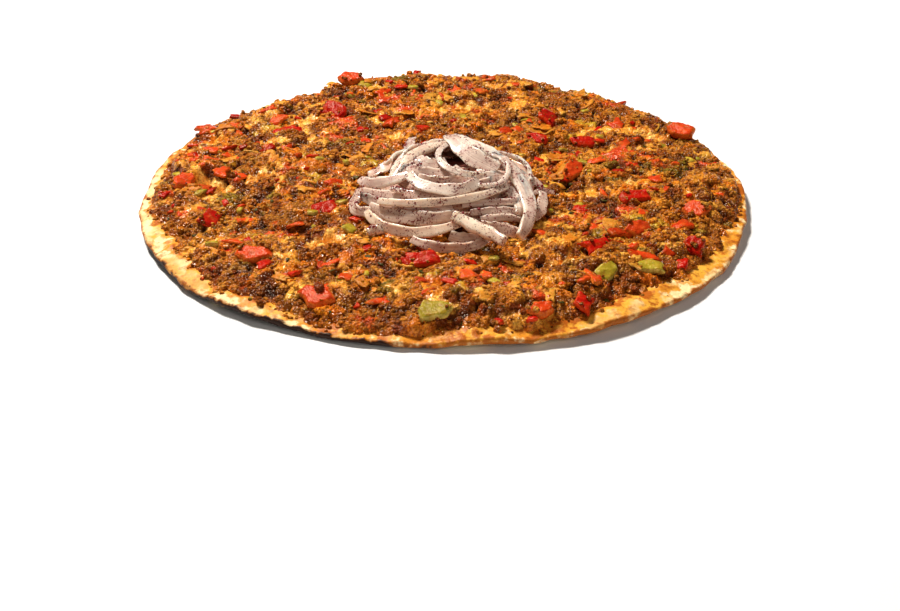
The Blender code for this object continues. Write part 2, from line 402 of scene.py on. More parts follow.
def mince_material():
    """Oily crumbled mince: its colour by point, granular, and smooth where the glaze pooled."""
    n = Nodes("mince")
    fine = n.noise(1.0, detail=4)
    patches = n.noise(6, detail=2)
    wet = n.attribute("wet")
    dry = n.range(wet, 0, 1, 1, 0.25)
    grain = n.range(n.add("SeparateColor", {0: n.cells(1.25, "Color")}), 0, 1, 0.80, 1.20)
    # painted shade: each grain lighter at its middle, and darker and redder towards its borders
    painted_grain_shade = n.mix(n.range(n.cells(1.25), 0.32, 0.66), (1.12, 1.12, 1.10), (0.76, 0.62, 0.46))
    shade = n.mix(n.range(fine, 0.34, 0.66), (0.58, 0.37, 0.18), (1.42, 1.40, 1.26))
    colour = n.tinted(n.attribute("tint", "Color"), grain, dry)
    colour = n.tinted(n.tinted(colour, shade), painted_grain_shade, dry)
    pale = n.range(n.noise(0.7, detail=2), 0.64, 0.76, 0, 0.2)
    colour = n.mix(pale, colour, linear(226, 156, 74))
    colour = n.tinted(colour, linear(255, 188, 78), n.range(patches, 0.45, 0.62, 0, 0.45))
    folds = n.times(n.times(n.noise(3), 1.4), wet)
    relief = n.times(n.plus(n.times(n.cells(1.15), -1.3), fine), dry)
    surface = n.bump(n.plus(relief, folds), 0.7)
    return n.finish(
        colour,
        (0.1, (1.0, 0.4, 0.1), 0.8),
        Roughness=n.times(n.range(patches, 0.35, 0.65, 0.38, 0.22), n.range(wet, 0, 1, 1, 0.7)),
        Specular_IOR_Level=n.range(wet, 0, 1, 0.20, 0.38),
        Specular_Tint=(1.0, 0.68, 0.40, 1.0),
        Coat_Weight=n.range(patches, 0.35, 0.6, 0.08, 0.36),
        Coat_Roughness=0.12,
        Coat_Normal=surface,
        Normal=surface,
    )


def bread_material():
    """Baked dough: pale, orange where oil soaked in, toasted in spots and charred in places."""
    n = Nodes("baked dough")
    broad, mottle, grain = n.noise(16), n.noise(4.5, detail=4), n.noise(0.9)
    dough = n.mix(n.range(broad, 0.36, 0.54), linear(232, 172, 88), linear(255, 232, 174))
    oiled = n.mix(n.range(broad, 0.4, 0.62), linear(246, 178, 64), linear(228, 140, 36))
    oil = n.plus(n.attribute("oil"), n.range(n.noise(9, detail=4), 0.35, 0.65, -0.6, 0.6))
    oil = n.ragged(oil, mottle, 0.2)
    colour = n.mix(n.range(oil, 0.25, 0.75, smooth=True), dough, oiled)
    colour = n.mix(n.range(oil, 0.95, 1.4, smooth=True), colour, linear(186, 96, 26))
    toast = n.plus(n.attribute("toast"), n.range(mottle, 0.3, 0.72, -0.45, 0.62))
    scorch = n.range(n.noise(5.5, detail=4, roughness=0.65), 0.52, 0.66, 0, 0.75)
    toast = n.math("MAXIMUM", n.range(toast, 0.25, 0.95, smooth=True), scorch)
    colour = n.mix(toast, colour, linear(170, 92, 30))
    char = n.ragged(n.attribute("char"), mottle, 0.35)
    colour = n.mix(n.range(char, 0.35, 0.70, smooth=True), colour, linear(42, 24, 22))
    specks = n.range(n.cells(3.4), 0.05, 0.17, 1, 0)
    specks = n.times(specks, n.range(n.noise(7, detail=1), 0.52, 0.62))
    colour = n.mix(specks, colour, linear(88, 46, 22))
    relief = n.plus(n.times(mottle, 1.6), n.times(grain, 0.35))
    return n.finish(
        n.tinted(colour, n.range(grain, 0.3, 0.7, 0.88, 1.08)),
        (0.12, (1.0, 0.5, 0.25), 1.5),
        Roughness=n.range(oil, 0, 1, 0.6, 0.40),
        Specular_IOR_Level=0.2,
        Specular_Tint=(1.0, 0.75, 0.5, 1.0),
        Normal=n.bump(relief, 0.6, 0.7),
    )


def vegetable_material(name, skin, flesh, gloss, translucent, stain):
    """A soft cooked piece of vegetable, by point between its skin and its paler flesh, stained
    by the mince around it."""
    n = Nodes(name)
    mottle = n.noise(2.6)
    cut = n.ragged(n.attribute("cut"), mottle, 0.55)
    colour = n.mix(n.range(cut, 0.15, 0.95, smooth=True), linear(*skin), linear(*flesh))
    spots = n.range(n.noise(3.4, detail=4, roughness=0.7), 0.50, 0.68, 0, stain)
    colour = n.mix(spots, colour, linear(176, 92, 30))
    colour = n.tinted(colour, n.range(mottle, 0.3, 0.7, 0.70, 1.15))
    relief = n.plus(n.plus(mottle, n.noise(1.6, detail=2)), n.times(n.noise(0.6, detail=2), 0.5))
    return n.finish(
        n.tinted(colour, n.attribute("tint", "Color")),
        (translucent, (1.0, 0.35, 0.12), 1.2),
        Roughness=n.range(mottle, 0.3, 0.7, gloss, gloss + 0.12),
        Specular_IOR_Level=0.18,
        Specular_Tint=(1.0, 0.72, 0.50, 1.0),
        Normal=n.bump(relief, 0.7, 0.6),
    )


def onion_material():
    """Raw sliced onion: cream where it was cut, pinker and veined on its skins, wet, and
    specked with sumac."""
    n = Nodes("sliced onion")
    along = n.add("Mapping", {0: n.attribute("strip", "Vector"), 3: (24, 1300, 50)})
    veins = n.noise(1000, detail=2, vector=along)
    cloud = n.noise(7)
    skin = n.mix(n.range(veins, 0.38, 0.62), linear(218, 194, 182), linear(244, 230, 218))
    skin = n.mix(n.range(cloud, 0.44, 0.60, 0, 0.5), skin, linear(206, 174, 162))
    cut = n.ragged(n.attribute("cut"), cloud, 0.15)
    colour = n.mix(n.range(cut, 0.15, 0.9, smooth=True), skin, linear(250, 238, 224))
    colour = n.mix(n.range(n.noise(8), 0.46, 0.62, 0, 0.4), colour, linear(204, 176, 162))
    colour = n.tinted(colour, n.attribute("tint", "Color"))
    stain = n.range(n.noise(4.5, detail=4, roughness=0.65), 0.52, 0.76, 0, 0.36)
    colour = n.mix(stain, colour, linear(172, 104, 104))
    crowd = n.range(n.noise(7, detail=2), 0.38, 0.62, -0.03, 0.09)
    specks = n.range(n.plus(n.noise(0.95, roughness=0.65), crowd), 0.615, 0.655)
    relief = n.plus(n.times(veins, 0.12), n.times(n.noise(3.4, detail=2), 1.4))
    return n.finish(
        n.mix(n.times(specks, 0.9), colour, linear(124, 26, 34)),
        (0.95, (1.0, 0.92, 0.86), 1.6),
        Roughness=n.range(cloud, 0.35, 0.65, 0.30, 0.15),
        IOR=1.40,
        Coat_Weight=0.7,
        Coat_Roughness=0.06,
        Coat_Normal=n.bump(relief, 0.3, 0.6),
        Normal=n.bump(relief, 0.3, 0.5),
    )


def speck_material(name, colour):
    n = Nodes(name)
    shade = n.range(n.noise(0.8), 0.3, 0.7, 0.6, 1.5)
    tone = n.tinted(linear(*colour), shade)
    return n.finish(tone, Roughness=0.5, Normal=n.bump(n.noise(0.5), 0.2, 0.5))


# ---- shapes that are scattered ----


def bmesh_parts(shape):
    """A bmesh's points and faces, as arrays. It is freed."""
    points = np.array([v.co for v in shape.verts])
    faces = np.array([[v.index for v in f.verts] for f in shape.faces])
    shape.free()
    return points, faces


def ball(subdivisions, lumps, depth, seed):
    """A ball of radius 1 whose surface swells into rounded grains."""
    shape = bmesh.new()
    bmesh.ops.create_icosphere(shape, subdivisions=subdivisions, radius=1)
    points, faces = bmesh_parts(shape)
    random = np.random.default_rng(seed)
    grains = unit(random.standard_normal((lumps, 3)))
    apart = np.arccos(np.clip(points @ grains.T, -1, 1)) / (2.3 / math.sqrt(lumps))
    swell_to = np.sqrt(np.clip(1 - apart**2, 0, 1)) * random.uniform(0.5, 1, lumps)
    return points * (1 - depth + depth * swell_to.max(axis=1))[:, None], faces


def block(cuts, squareness):
    """A cube of half side 1 with rounded edges, as points and quads."""
    shape = bmesh.new()
    bmesh.ops.create_cube(shape, size=2)
    bmesh.ops.subdivide_edges(shape, edges=shape.edges[:], cuts=cuts, use_grid_fill=True)
    points, faces = bmesh_parts(shape)
    norm = (np.abs(points) ** squareness).sum(axis=1) ** (1 / squareness)
    return points / norm[:, None], faces


def rotation(axis, angle):
    """Rotation matrices about unit axes, one for each row."""
    x, y, z = axis.T
    zero = np.zeros_like(x)
    cross = np.array(((zero, -z, y), (z, zero, -x), (-y, x, zero))).transpose(2, 0, 1)
    sine, cosine = np.sin(angle)[:, None, None], np.cos(angle)[:, None, None]
    return np.eye(3) + sine * cross + (1 - cosine) * (cross @ cross)


def random_turns(random, count, tilt):
    """Rotation matrices: any turn about Z after a tilt of at most the given angle."""
    spin = random.uniform(0, TAU, count)
    lean = random.uniform(-tilt, tilt, count)
    axis = xyz(*polar(1, random.uniform(0, TAU, count)), 0)
    return rotation(axis, lean) @ rotation(xyz(0 * spin, 0, 1), spin)


def scatter(random, shapes, scale, places, tilt=math.pi):
    """A random one of the shapes at each place, with its size each way, as one mesh."""
    count = len(places)
    copies = np.stack([points for points, _ in shapes])[random.integers(0, len(shapes), count)]
    turns = random_turns(random, count, tilt)
    return placed(copies * scale[:, None, :], shapes[0][1], turns, places)


def placed(copies, faces, turns, places):
    """Copies of a shape, turned and placed, as one mesh. copies: copy, point, xyz."""
    points = np.einsum("nvk,njk->nvj", copies, turns) + places[:, None, :]
    offset = np.arange(len(points)) * points.shape[1]
    return points.reshape(-1, 3), (faces + offset[:, None, None]).reshape(-1, faces.shape[1])


# ---- the bread ----

X, Y = np.meshgrid(AXIS, AXIS)
ANGLE = np.arctan2(Y, X)
RADIUS = np.hypot(X, Y)

# Where the heap stands, from its solid.
HEAP_LOW, HEAP_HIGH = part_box("onion_heap")
HEAP_X, HEAP_Y = (HEAP_LOW.x + HEAP_HIGH.x) / 2, (HEAP_LOW.y + HEAP_HIGH.y) / 2
HEAP_BASE = HEAP_LOW.z
HEAP_HIDES = 30 * MM  # no crumbs lie nearer its middle
HEAP_CLEARS = 40 * MM  # no larger bits do

UPPER = PolarSurface("bread", False, 40)
UNDER = PolarSurface("bread", True, 40)
MINCE = PolarSurface("mince_layer", False, 66, directions=240, smooth=60)

EDGE_ROUND = 1.3 * MM  # how far in from the outline the bread's edge starts to round over
EDGE_THINNING = 0.35 * MM  # how much the dough thins to its edge on each side
BREAD_SECTORS = 660
BLISTERS = 150
CREASES = 60


def bread_reach(angle):
    """The outline of the visible bread: the solid's, with small unevenness."""
    ripple = 0.5 * np.sin(23 * angle + 1.0) + 0.4 * np.sin(37 * angle + 2.6 * np.sin(3 * angle))
    ripple += 0.35 * np.sin(61 * angle + 1.7 * np.sin(5 * angle))
    return UPPER.outline(angle) + ripple * 0.45 * MM


def rim_place(random, nearest, furthest):
    """A random direction, and the x and y of a place there that far from the edge, in mm."""
    angle = random.uniform(0, TAU)
    radius = UPPER.outline(np.array(angle)) - random.uniform(nearest, furthest) * MM
    return angle, *polar(radius, angle)


def rim_relief():
    """Waves, blisters and radial creases of the baked dough, where it is bare."""
    random = np.random.default_rng(11)
    relief = 0.35 * MM * raster_noise(22, 12) + 0.22 * MM * raster_noise(7, 13)
    for _ in range(BLISTERS):
        _, x, y = rim_place(random, 1, 15)
        width = random.uniform(1.5, 4.4) * MM
        high = random.uniform(0.12, 0.26) * width
        window, across, along = raster_window(x, y, 2.6 * width)
        squash = random.uniform(0.55, 1)
        u, v = turned(across, along, random.uniform(0, TAU))
        bulge = high * np.exp(-(u**2 + (v / squash) ** 2) / width**2)
        relief[window] = np.maximum(relief[window], relief[window] * 0.5 + bulge)
    for _ in range(CREASES):
        angle, x, y = rim_place(random, -1, 7)
        length, width = random.uniform(3, 8) * MM, random.uniform(0.5, 1.0) * MM
        window, across, along = raster_window(x, y, 1.6 * length)
        u, v = turned(across, along, angle + random.uniform(-0.7, 0.7))
        u, v = u / length, v / width
        crease = np.exp(-(u**2)) * (np.exp(-(v**2)) - 0.45 * np.exp(-((v / 2.2) ** 2)))
        relief[window] -= random.uniform(0.15, 0.5) * MM * crease
    return relief


def rim_wave(angle, share):
    """How far the rim waves up and down, more the nearer it is to the edge."""
    lift = 0.45 * np.sin(9 * angle + 2.0 * np.sin(2 * angle)) + 0.35 * np.sin(17 * angle + 1.1)
    lift += 0.2 * np.sin(41 * angle + 2.0)
    return lift * MM * smoothstep(0.86, 1.0, share)


FROM_EDGE = UPPER.outline(ANGLE) - RADIUS
BREAD_TOP = UPPER.height(X, Y) + rim_relief() * smoothstep(34 * MM, 20 * MM, FROM_EDGE)
BREAD_TOP = BREAD_TOP - EDGE_THINNING * smoothstep(6 * MM, 0, FROM_EDGE)
BREAD_TOP = BREAD_TOP + rim_wave(ANGLE, RADIUS / (bread_reach(ANGLE) - EDGE_ROUND))


def make_bread():
    """The bread in rings: outwards over its top, round its edge, and inwards underneath."""
    angles = np.arange(BREAD_SECTORS) * TAU / BREAD_SECTORS
    reach = bread_reach(angles)
    inner = reach - EDGE_ROUND
    hollows = np.clip(0.3 * MM * raster_noise(18, 15) - 0.12 * MM, 0, 0.6 * MM)
    rings, sides = [], []

    def add_ring(radius, height, side):
        rings.append(xyz(*polar(radius, angles), height))
        sides.append(side)

    def under_height(share):
        x, y = polar(share * inner, angles)
        rough = raster_at(hollows, x, y)
        rough += EDGE_THINNING * smoothstep(5 * MM, 0, reach - share * inner)
        return np.maximum(UNDER.height(x, y) + rough + rim_wave(angles, share), 0)

    for share in (0.02, 0.3, 0.6, 0.8, *np.linspace(0.86, 1.0, 24)):
        add_ring(share * inner, raster_at(BREAD_TOP, *polar(share * inner, angles)), 1.0)
    high = rings[-1][:, 2]
    middle = (high + under_height(1.0)) / 2
    for around in np.linspace(0, math.pi, 11)[1:-1]:
        out = inner + EDGE_ROUND * math.sin(around) ** 0.8
        cosine = math.cos(around)
        add_ring(out, middle + (high - middle) * cosine, 0.5 + 0.5 * cosine)
    for share in (*np.linspace(1.0, 0.82, 14), 0.7, 0.5, 0.25, 0.02):
        add_ring(share * inner, under_height(share), 0.0)
    points = np.concatenate(rings)
    masks = bread_masks(np.tile(angles, len(rings)), points, np.repeat(sides, BREAD_SECTORS))
    faces = tube_faces(len(rings), BREAD_SECTORS)
    bread = new_piece("bread_baked", points, faces, bread_material(), "baked_dough", **masks)
    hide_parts("bread")


def bread_masks(angle, points, side):
    """Where the dough is oiled, toasted and charred. side is 1 on top and 0 underneath."""
    radius = np.hypot(points[:, 0], points[:, 1])
    ragged = raster_at(RAGGED, points[:, 0], points[:, 1])
    bare = (radius - MINCE.outline(angle) - ragged) / MM
    from_edge = (UPPER.outline(angle) - radius) / MM
    oil = 1.15 - bare / (4.2 + 8.0 * swell(angle, -50, 40) + 5.0 * swell(angle, -95, 24))
    back = swell(angle, 60, 70) + swell(angle, 150, 40)
    toast = 0.65 * smoothstep(2.4, 0.0, from_edge) + 0.25 * np.clip(back, 0, 1)
    lower = np.maximum(smoothstep(1.0, 0.6, side), 0.55 * smoothstep(2.2, 0.9, from_edge))
    char = 0.95 * swell(angle, -116, 20) * lower * smoothstep(16, 3, from_edge)
    char += 0.6 * swell(angle, -152, 12) * lower * smoothstep(14, 2, from_edge)
    return {
        "oil": np.clip(oil, 0, 1.2) * side,
        "toast": toast + (1 - side) * 0.42,
        "char": char + 0.25 * (1 - side),
    }


# ---- the mince ----

# The mince's tones, each with its share of the lumps, and those of the glaze between them.
TONES = (
    (0.50, linear(178, 118, 36)),
    (0.15, linear(136, 80, 18)),
    (0.17, linear(206, 152, 60)),
    (0.10, linear(210, 128, 22)),
    (0.04, linear(192, 78, 22)),
    (0.04, linear(132, 116, 36)),
)
GLAZE_TONES = (
    (0.40, linear(222, 150, 46)),
    (0.26, linear(238, 182, 78)),
    (0.18, linear(204, 116, 26)),
    (0.08, linear(204, 74, 32)),
    (0.08, linear(190, 160, 52)),
)
EDGE_TONE = linear(150, 90, 44)  # of the drier mince along the front
# How the shares of tones 1, 3 and 4 grow where a broad patch is oily.
OILY_GROWTH = {1: -1.1, 3: 1.2, 4: 0.7}

# Where the oily bread shows through the mince: x, y, half length, half width and turn, in mm
# and degrees.
BARE_SPOTS = (
    (-111, -9, 15, 6, -20),
    (-88, 2, 9, 5, 10),
    (-118, 40, 8, 5, 60),
    (104, 50, 11, 5, -50),
    (-52, -64, 9, 5, 30),
    (12, 84, 10, 5, 0),
    (52, -84, 8, 4, 20),
    (88, -12, 7, 5, 80),
    (-72, 70, 8, 5, 40),
    (-26, 46, 7, 4, -30),
)

# The lumps of the relief, from large to small: how many, how far inside the mince's edge, half
# length, middle over the ground, half height (all in mm), roundness, and the share that keeps
# the colour of what lies below.
LUMP_SIZES = (
    (1350, 1.6, (2.8, 6.2), (-1.4, 0.9), (1.7, 3.4), 0.85, 0),
    (5200, 0.6, (1.3, 2.6), (-0.3, 0.6), (0.7, 1.5), 0.65, 0.86),
    (14000, -0.6, (0.9, 1.5), (-0.35, 0.5), (0.6, 1.2), 0.5, 0.94),
)
PITS = 420
POOLS = 380

RAGGED = 1.1 * MM * raster_noise(9, 28) + 0.9 * MM * raster_noise(24, 29)
PATCHES = raster_noise(42, 27)
INSET = MINCE.outline(ANGLE) + RAGGED - RADIUS  # how far inside the mince's edge each cell is
# How far inside the border of the bed's mesh each cell is: it ends below the bread's surface.
BORDER = np.minimum(INSET + 3 * MM, FROM_EDGE - 2.6 * MM)


def pick_tones(random, x, y, tones=TONES, spread=0.24):
    """A colour for each place. Broad patches lean to the oily tones or to the dark ones."""
    weights = np.tile([share for share, _ in tones], (len(x), 1))
    for tone, growth in OILY_GROWTH.items():
        weights[:, tone] *= np.exp(growth * raster_at(PATCHES, x, y))
    cumulative = np.cumsum(weights, axis=1)
    pick = random.uniform(0, 1, len(x)) * cumulative[:, -1]
    colours = np.array([colour for _, colour in tones])
    colours = colours[(pick[:, None] > cumulative).sum(axis=1)]
    brightness = random.uniform(1 - spread, 1 + spread, len(x))[:, None]
    near_edge = smoothstep(13 * MM, 3 * MM, raster_at(INSET, x, y))
    front = swell(np.arctan2(y, x), -60, 50) * near_edge * 0.35
    return blend(colours, EDGE_TONE, front[:, None]) * brightness


def bareness():
    """1 where the bread lies bare among the mince, falling to 0 round about."""
    bare = np.zeros((RASTER, RASTER))
    warp = 1.6 * MM * raster_noise(8, 36)
    for x, y, long, wide, turn in BARE_SPOTS:
        u, v = turned(X - x * MM + warp, Y - y * MM + warp, math.radians(turn))
        away = np.hypot(u / (long * MM), v / (wide * MM))
        bare = np.maximum(bare, smoothstep(1.25, 0.75, away))
    return bare


BARE = bareness()


def spots_in_mince(random, count, inside=0.0):
    """Random places on the mince, at least that far inside its edge, in mm."""
    places = random.uniform(-SPAN / 2, SPAN / 2, (int(count * 1.8) + 50, 2))
    kept = places[raster_at(INSET, places[:, 0], places[:, 1]) > inside * MM]
    kept = kept[raster_at(BARE, kept[:, 0], kept[:, 1]) < 0.5]
    return kept[:count, 0], kept[:count, 1]


def mince_bed():
    """The relief of the mince, the colour of each of its cells, and where it is wet glaze."""
    random = np.random.default_rng(21)
    warp = [0.6 * MM * raster_noise(3.5, k) + 1.2 * MM * raster_noise(9, k + 1) for k in (22, 24)]
    body = MINCE.height(X, Y) - BREAD_TOP
    taper = smoothstep(-1 * MM, 8 * MM, INSET)
    level = BREAD_TOP + body * (0.25 + 0.75 * taper) + 1.1 * np.minimum(INSET - 1 * MM, 0)
    thick = np.clip(body * (0.15 + 0.85 * taper) / (5 * MM), 0.22, 1) * (1 - 0.85 * BARE)
    ground = level - BED_DROP * thick + 0.85 * MM * thick * raster_noise(13, 26)
    ground = blend(ground, BREAD_TOP + 1.2 * MM + 0.25 * MM * raster_noise(7, 37), BARE)
    for x, y in zip(*spots_in_mince(random, PITS, 5)):
        wide = random.uniform(1.3, 3.4) * MM
        window, across, along = raster_window(x, y, 2.4 * wide)
        pit = np.exp(-(across**2 + along**2) / wide**2) * thick[window]
        ground[window] -= random.uniform(1.0, 2.4) * MM * pit
    height, colour = pile_lumps(random, ground, thick, warp)
    height -= 0.75 * np.maximum(height - level - 2.2 * MM, 0)
    height = eased(height, 1.6, 5)
    # painted shade in the hollows and crevices, and a painted highlight on the tops
    colour = paint_shade_in_hollows(height, colour)
    wet = pour_glaze(random, height, colour, thick, warp)

    dough = smoothstep(-1.2, 1.2, raster_noise(9, 38))[..., None]
    dough = blend(linear(236, 168, 62), linear(248, 208, 120), dough)
    shown = smoothstep(0.35, 0.8, BARE - 0.12 * raster_noise(3, 39))
    skirt = smoothstep(1.4 * MM, -0.4 * MM, INSET)
    colour = blend(colour, dough, shown[..., None])
    colour = blend(colour, linear(206, 128, 44), skirt[..., None])
    colour = np.stack([blurred(colour[..., k], 0.34) for k in range(3)], axis=-1)
    bays = smoothstep(0.2 * MM, 2.4 * MM, INSET + 1.0 * MM * raster_noise(6, 35))
    height = np.maximum(eased(height, 2.0, 3), BREAD_TOP - 0.9 * MM)
    height = blend(np.minimum(height, BREAD_TOP - 0.4 * MM), height, bays)
    height = blend(height, BREAD_TOP - 1.0 * MM, smoothstep(2.6 * MM, 0.9 * MM, BORDER))
    return height, colour, np.maximum(np.maximum(wet, shown), skirt)


def pile_lumps(random, ground, thick, warp):
    """The ground with the mince's lumps on it, and the colour of each cell."""
    height = ground.copy()
    tones = linear(126, 64, 20)[None]
    tone_of_cell = np.zeros(height.shape, int)
    for count, inside, long, offset, high, power, kept in LUMP_SIZES:
        x, y = spots_in_mince(random, count, inside)
        half = random.uniform(*long, len(x)) * MM
        local = raster_at(thick, x, y)
        z = raster_at(height, x, y) + random.uniform(*offset, len(x)) * MM * local
        rise = random.uniform(*high, len(x)) * MM * local
        wide = half * random.uniform(0.6, 1.0, len(x))
        owner = heap_lumps(random, height, (x, y, z, half, wide, rise), warp, power)
        fresh = pick_tones(random, x, y)
        if kept:
            below = tones[raster_cell(tone_of_cell, x, y)]
            keep = (random.uniform(0, 1, len(x)) < kept)[:, None]
            varied = below * random.uniform(0.84, 1.18, len(x))[:, None]
            fresh = np.where(keep, varied, fresh)
        tone_of_cell = np.where(owner >= 0, owner + len(tones), tone_of_cell)
        tones = np.concatenate([tones, fresh])
    return height, tones[tone_of_cell]


def paint_shade_in_hollows(height, colour):
    """The cells' colours with painted shade, darker and redder in hollows and crevices, and a
    painted highlight, lighter on tops.
    """
    hollow = np.clip((blurred(height, 2.6) - height) / (1.5 * MM), -1, 1)
    crevice = np.clip((blurred(height, 0.9) - height) / (0.45 * MM), 0, 1)
    foot = smoothstep(-1 * MM, 7 * MM, INSET)
    sink = (smoothstep(0.05, 0.9, hollow) * (0.3 + 0.7 * foot))[..., None]
    crevice = (crevice * (0.5 + 0.5 * foot))[..., None]
    # painted shade in the hollows and crevices, and a painted highlight over the tops
    colour = colour * (1 - 0.92 * sink) + linear(112, 22, 2) * 0.12 * sink
    colour = colour * (1 + 0.28 * np.clip(-hollow, 0, 1))[..., None]
    return colour * (1 - crevice * np.array((0.66, 0.91, 0.98)))


def pour_glaze(random, height, colour, thick, warp):
    """Fills hollows with smooth folds of melted onion and oil, and returns where they lie."""
    x, y = spots_in_mince(random, POOLS, 2.5)
    half = random.uniform(2.4, 9.0, len(x)) * MM
    wide = half * random.uniform(0.4, 0.9, len(x))
    local = raster_at(thick, x, y)
    rise = half * random.uniform(0.14, 0.30, len(x)) * local
    level = raster_at(blurred(height, 2.5), x, y)
    z = level - rise + random.uniform(0.0, 1.3, len(x)) * MM * local
    before = height.copy()
    owner = heap_lumps(random, height, (x, y, z, half, wide, rise), warp, 0.7)
    tones = pick_tones(random, x, y, GLAZE_TONES, 0.12)
    cover = smoothstep(0, 0.35 * MM, height - before)
    height += (0.16 * MM * raster_noise(3.2, 33) + 0.22 * MM * raster_noise(6, 34)) * cover
    share = np.where(owner >= 0, cover, 0)
    colour[:] = blend(colour, tones[owner], share[..., None])
    return share


BED, BED_COLOUR, WET = mince_bed()


def make_mince_bed(material):
    """The bed as one closed mesh: its relief on top, and under it, inside the bread, a fan."""
    count = int(SPAN / BED_STEP)
    line = (np.arange(count) - (count - 1) / 2) * BED_STEP
    random = np.random.default_rng(31)
    x, y = (v + random.uniform(-0.22, 0.22, v.shape) * BED_STEP for v in np.meshgrid(line, line))
    inside = raster_at(BORDER, x, y) > 0
    whole = inside[:-1, :-1] & inside[1:, :-1] & inside[:-1, 1:] & inside[1:, 1:]
    rows, columns = np.nonzero(whole)
    corner = rows * count + columns
    faces = np.stack([corner, corner + 1, corner + count + 1, corner + count], axis=1)
    used, faces = np.unique(faces, return_inverse=True)
    faces = faces.reshape(-1, 4)
    x, y = x.ravel()[used], y.ravel()[used]
    slope_y, slope_x = np.gradient(blurred(BED, 0.45), CELL)
    steep = np.hypot(slope_x, slope_y) + 1e-6
    push = PUFF * np.tanh(steep) / steep
    x_pushed = x - raster_at(push * slope_x, x, y)
    y_pushed = y - raster_at(push * slope_y, x, y)
    points = xyz(x_pushed, y_pushed, raster_at(BED, x, y))

    sides = np.concatenate([faces[:, [k, (k + 1) % 4]] for k in range(4)])
    keys = np.sort(sides, axis=1) @ (len(points), 1)
    _, first, times = np.unique(keys, return_index=True, return_counts=True)
    fan = [[b, a, len(points)] for a, b in sides[first[times == 1]].tolist()]
    points = np.vstack([points, (0, 0, 1.5 * MM)])
    colours = raster_cell(BED_COLOUR, points[:, 0], points[:, 1])
    wet = raster_at(WET, points[:, 0], points[:, 1])
    faces = faces.tolist() + fan
    bed = new_piece("mince_bed", points, faces, material, "spiced_mince", colours, wet=wet)
    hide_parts("mince_layer")


def thinned(random, x, y, chance, allowed, count):
    """Up to so many of the allowed places, each kept by its chance."""
    keep = (random.uniform(0, 1, len(x)) < chance) & allowed
    return x[keep][:count], y[keep][:count]


def dry_spots(count, seed, inside=0.8):
    """Random places in the mince, crowded where it is drier, and none under the heap."""
    random = np.random.default_rng(seed)
    x, y = spots_in_mince(random, count * 5, inside)
    crowd = raster_at(raster_noise(14, seed + 1), x, y)
    glazed = raster_at(blurred(WET, 1.2), x, y)
    under_heap = np.hypot(x - HEAP_X, y - HEAP_Y) < HEAP_HIDES
    chance = (0.45 + 0.22 * crowd) * (1 - 0.85 * glazed)
    return thinned(random, x, y, chance, ~under_heap, count)


def edge_spots(count, seed):
    """Random places along the mince's edge, thinning out over the bare bread."""
    random = np.random.default_rng(seed)
    x, y = spots_in_mince(random, count * 34, -5)
    inset = raster_at(INSET, x, y) / MM
    chance = np.where(inset > 0.2, smoothstep(6.0, 0.4, inset), smoothstep(-3.2, 0.2, inset) ** 3)
    from_edge = UPPER.outline(np.arctan2(y, x)) - np.hypot(x, y)
    return thinned(random, x, y, chance * 0.8, from_edge > 2.4 * MM, count)


def spots_round_chunks(each, seed):
    """Places round the foot of every larger piece of vegetable, and some on it."""
    random = np.random.default_rng(seed)
    spots = []
    for node in sorted(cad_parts):
        if node.startswith(CHUNK_KINDS):
            low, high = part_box(node)
            angle = random.uniform(0, TAU, each)
            x, y = polar(0.5 * random.uniform(0.75, 1.15, each), angle)
            middle = (low + high) / 2
            spots.append((middle.x + x * (high.x - low.x), middle.y + y * (high.y - low.y)))
    return np.concatenate(spots, axis=1)


def make_crumbs(name, spots, sizes, shapes, material, chunks, seed, sink):
    """Loose crumbs that stand on the bed, and some of them on the chunks of vegetable. sizes
    are the least and most half size in mm, and sink is the middle's height by half size."""
    random = np.random.default_rng(seed + 2)
    x, y = spots
    count = len(x)
    inset = raster_at(INSET, x, y)
    half = random.uniform(*sizes, count) * MM * np.clip(0.6 + inset / (10 * MM), 0.6, 1)
    scale = half[:, None] * random.uniform(0.75, 1.15, (count, 3)) * (1, 1, 0.8)
    tops = np.nan_to_num(cast(chunks, x, y))
    ground = np.maximum(raster_at(BED, x, y), raster_at(BREAD_TOP, x, y))
    clings = random.uniform(0, 1, count) < 0.35
    lifted = np.where((tops > ground) & clings, tops + 0.35 * half, ground)
    z = lifted + half * random.uniform(*sink, count)
    points, faces = scatter(random, shapes, scale, xyz(x, y, z), 0.6)
    share = random.uniform(0.0, 0.4, count)[:, None]
    share = np.maximum(share, smoothstep(2.5 * MM, 0.5 * MM, inset)[:, None])
    tones = blend(raster_cell(BED_COLOUR, x, y), pick_tones(random, x, y), share)
    tones = np.maximum(tones, linear(130, 60, 16))
    each = len(points) // count
    # painted shade: each crumb darker towards its foot, and lighter over its top
    low = (points[:, 2] - np.repeat(z, each)) / np.repeat(half, each)
    shade = 0.50 + 0.60 * smoothstep(-0.7, 0.7, low)
    colours = np.repeat(tones, each, axis=0) * shade[:, None]
    new_piece(name, points, faces, material, "spiced_mince", colours)


